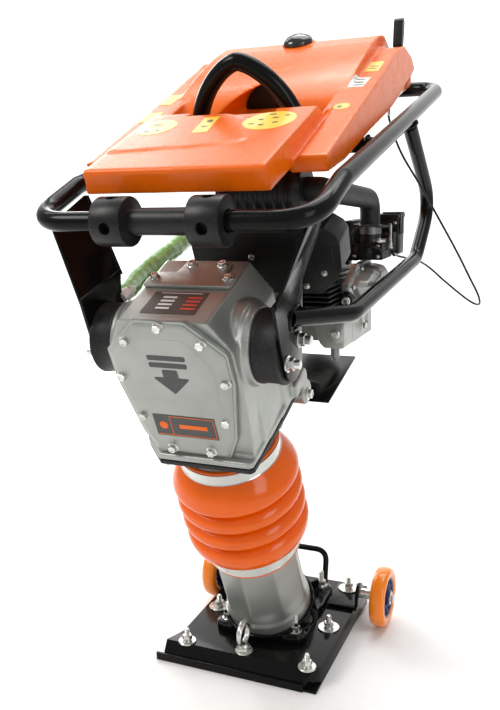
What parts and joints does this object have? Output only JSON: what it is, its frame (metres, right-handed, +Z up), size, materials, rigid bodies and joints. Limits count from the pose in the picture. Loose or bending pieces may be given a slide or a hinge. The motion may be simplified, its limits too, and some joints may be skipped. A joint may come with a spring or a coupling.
{
  "type": "jumping jack rammer",
  "caption": "Upright soil rammer with a flat shoe, leaning spring leg in a ribbed bellows, cast crankcase, small engine, looped handle and saddle fuel tank.",
  "frame": {"origin": "on the ground at the centre of the shoe's underside", "axes": "+Z up, -Y towards the front of the machine, +X to its left as the operator stands behind it facing forward"},
  "size_m": [0.5614, 0.8882, 1.1643],
  "materials": {
    "black_paint": "gloss black enamel",
    "zinc_steel": "bright zinc plate",
    "cast_aluminium": "sand cast, painted silver",
    "orange_plastic": "glossy moulded",
    "orange_bellows": "glossy",
    "black_rubber": "matt",
    "black_plastic": "satin",
    "blue_plastic": "glossy",
    "orange_tyre": "glossy polyurethane",
    "muffler_black": "heat-proof matt black",
    "green_film": "glossy film"
  },
  "bodies": {
    "foot": {"sole_plate": "black_paint", "shoe_board": "black_paint", "foot_flange": "black_paint", "eye_bolt": "zinc_steel", "foot_rail": "black_paint", "wheel_bracket_left": "black_paint", "wheel_bracket_right": "black_paint", "wheel_axle_left": "zinc_steel", "wheel_axle_right": "zinc_steel", "spring_cylinder": "cast_aluminium", "lower_spring": "zinc_steel", "upper_spring": "zinc_steel", "bellows": "orange_bellows", "lower_clamp": "zinc_steel"},
    "wheel_left": {"wheel_hub_left": "blue_plastic", "wheel_tyre_left": "orange_tyre"},
    "wheel_right": {"wheel_hub_right": "blue_plastic", "wheel_tyre_right": "orange_tyre"},
    "upper": {"guide_cylinder": "cast_aluminium", "upper_clamp": "zinc_steel", "crankcase": "cast_aluminium", "crankcase_cover": "cast_aluminium", "bottom_gasket": "black_rubber", "top_plate": "cast_aluminium", "crank_bearing": "zinc_steel", "rubber_mount_left": "black_rubber", "rubber_mount_right": "black_rubber", "clutch_housing": "cast_aluminium", "engine_block": "cast_aluminium", "engine_cylinder": "black_plastic", "valve_cover": "cast_aluminium", "engine_shroud": "black_plastic", "carburettor": "black_plastic", "intake_elbow": "black_rubber", "starter_housing": "black_plastic", "muffler": "muffler_black", "skid_plate": "black_paint", "air_filter": "black_plastic"},
    "crank": {"crank_gear": "zinc_steel"},
    "pinion": {"pinion_shaft": "zinc_steel", "clutch_drum": "zinc_steel"},
    "ram": {"ram_rod": "zinc_steel", "spring_piston": "zinc_steel"},
    "conrod": {"connecting_rod": "zinc_steel"},
    "handle": {"handle_loop": "black_paint", "tank_crossbar": "black_paint", "support_plate_left": "black_paint", "support_plate_right": "black_paint", "guard_tube_left": "black_paint", "guard_tube_right": "black_paint", "guard_film": "green_film", "fuel_tank": "orange_plastic", "lifting_bail": "black_paint", "throttle_cable": "black_plastic"},
    "roller": {"handle_roller": "black_plastic"},
    "throttle": {"throttle_lever": "black_plastic"},
    "cap": {"fuel_cap": "black_plastic"},
    "valve": {"fuel_valve": "black_plastic"},
    "choke": {"choke_lever": "zinc_steel"},
    "starter_pull": {"starter_grip": "black_plastic"}
  },
  "joints": [
    {"name": "ram_stroke", "type": "slide", "parent": "foot", "child": "upper", "axis": [0, -0.4035, 0.915], "range_m": [-0.06, 0], "stiffness_N_per_m": 12000, "springref_m": 0.06, "deforming": ["bellows", "lower_spring", "upper_spring"]},
    {"name": "piston_stroke", "type": "slide", "parent": "upper", "child": "ram", "axis": [0, -0.4035, 0.915], "range_m": [0, 0.056], "stiffness_N_per_m": 9000, "deforming": ["lower_spring", "upper_spring"]},
    {"name": "rod_swing", "type": "hinge", "parent": "ram", "child": "conrod", "pos_m": [0, -0.20662, 0.46846], "axis": [0, 0.915, 0.4035], "range_deg": [-14, 14]},
    {"name": "crank_spin", "type": "hinge", "parent": "upper", "child": "crank", "pos_m": [0, -0.25101, 0.5691], "axis": [0, 0.915, 0.4035], "continuous": true},
    {"name": "pinion_spin", "type": "hinge", "parent": "upper", "child": "pinion", "pos_m": [0, -0.27875, 0.63201], "axis": [0, 0.915, 0.4035], "continuous": true},
    {"name": "handle_rock", "type": "hinge", "parent": "upper", "child": "handle", "pos_m": [0, -0.30745, 0.64257], "axis": [1, 0, 0], "range_deg": [-3, 3], "stiffness_Nm_per_rad": 4000},
    {"name": "roller_spin", "type": "hinge", "parent": "handle", "child": "roller", "pos_m": [0, -0.38624, 0.82368], "axis": [1, 0, 0], "continuous": true},
    {"name": "throttle_turn", "type": "hinge", "parent": "handle", "child": "throttle", "pos_m": [0.174, 0.23253, 1.07856], "axis": [1, 0, 0], "range_deg": [-5, 45]},
    {"name": "cap_turn", "type": "hinge", "parent": "handle", "child": "cap", "pos_m": [0, 0.17, 1.12617], "axis": [0, -0.4035, 0.915], "range_deg": [0, 120]},
    {"name": "valve_turn", "type": "hinge", "parent": "handle", "child": "valve", "pos_m": [0.06, -0.02412, 0.94678], "axis": [0, -0.4035, 0.915], "range_deg": [0, 90]},
    {"name": "choke_turn", "type": "hinge", "parent": "upper", "child": "choke", "pos_m": [0.1903, 0.125, 0.752], "axis": [1, 0, 0], "range_deg": [0, 60]},
    {"name": "starter_slide", "type": "slide", "parent": "upper", "child": "starter_pull", "axis": [0, 1, 0], "range_m": [0, 0.11], "stiffness_N_per_m": 60, "springref_m": -0.05},
    {"name": "wheel_left_spin", "type": "hinge", "parent": "foot", "child": "wheel_left", "pos_m": [-0.1655, 0.087, 0.0602], "axis": [1, 0, 0], "continuous": true},
    {"name": "wheel_right_spin", "type": "hinge", "parent": "foot", "child": "wheel_right", "pos_m": [0.193, 0.087, 0.0602], "axis": [1, 0, 0], "continuous": true}
  ],
  "couplings": [
    {"joint": "pinion_spin", "follows": "crank_spin", "ratio": -4}
  ]
}
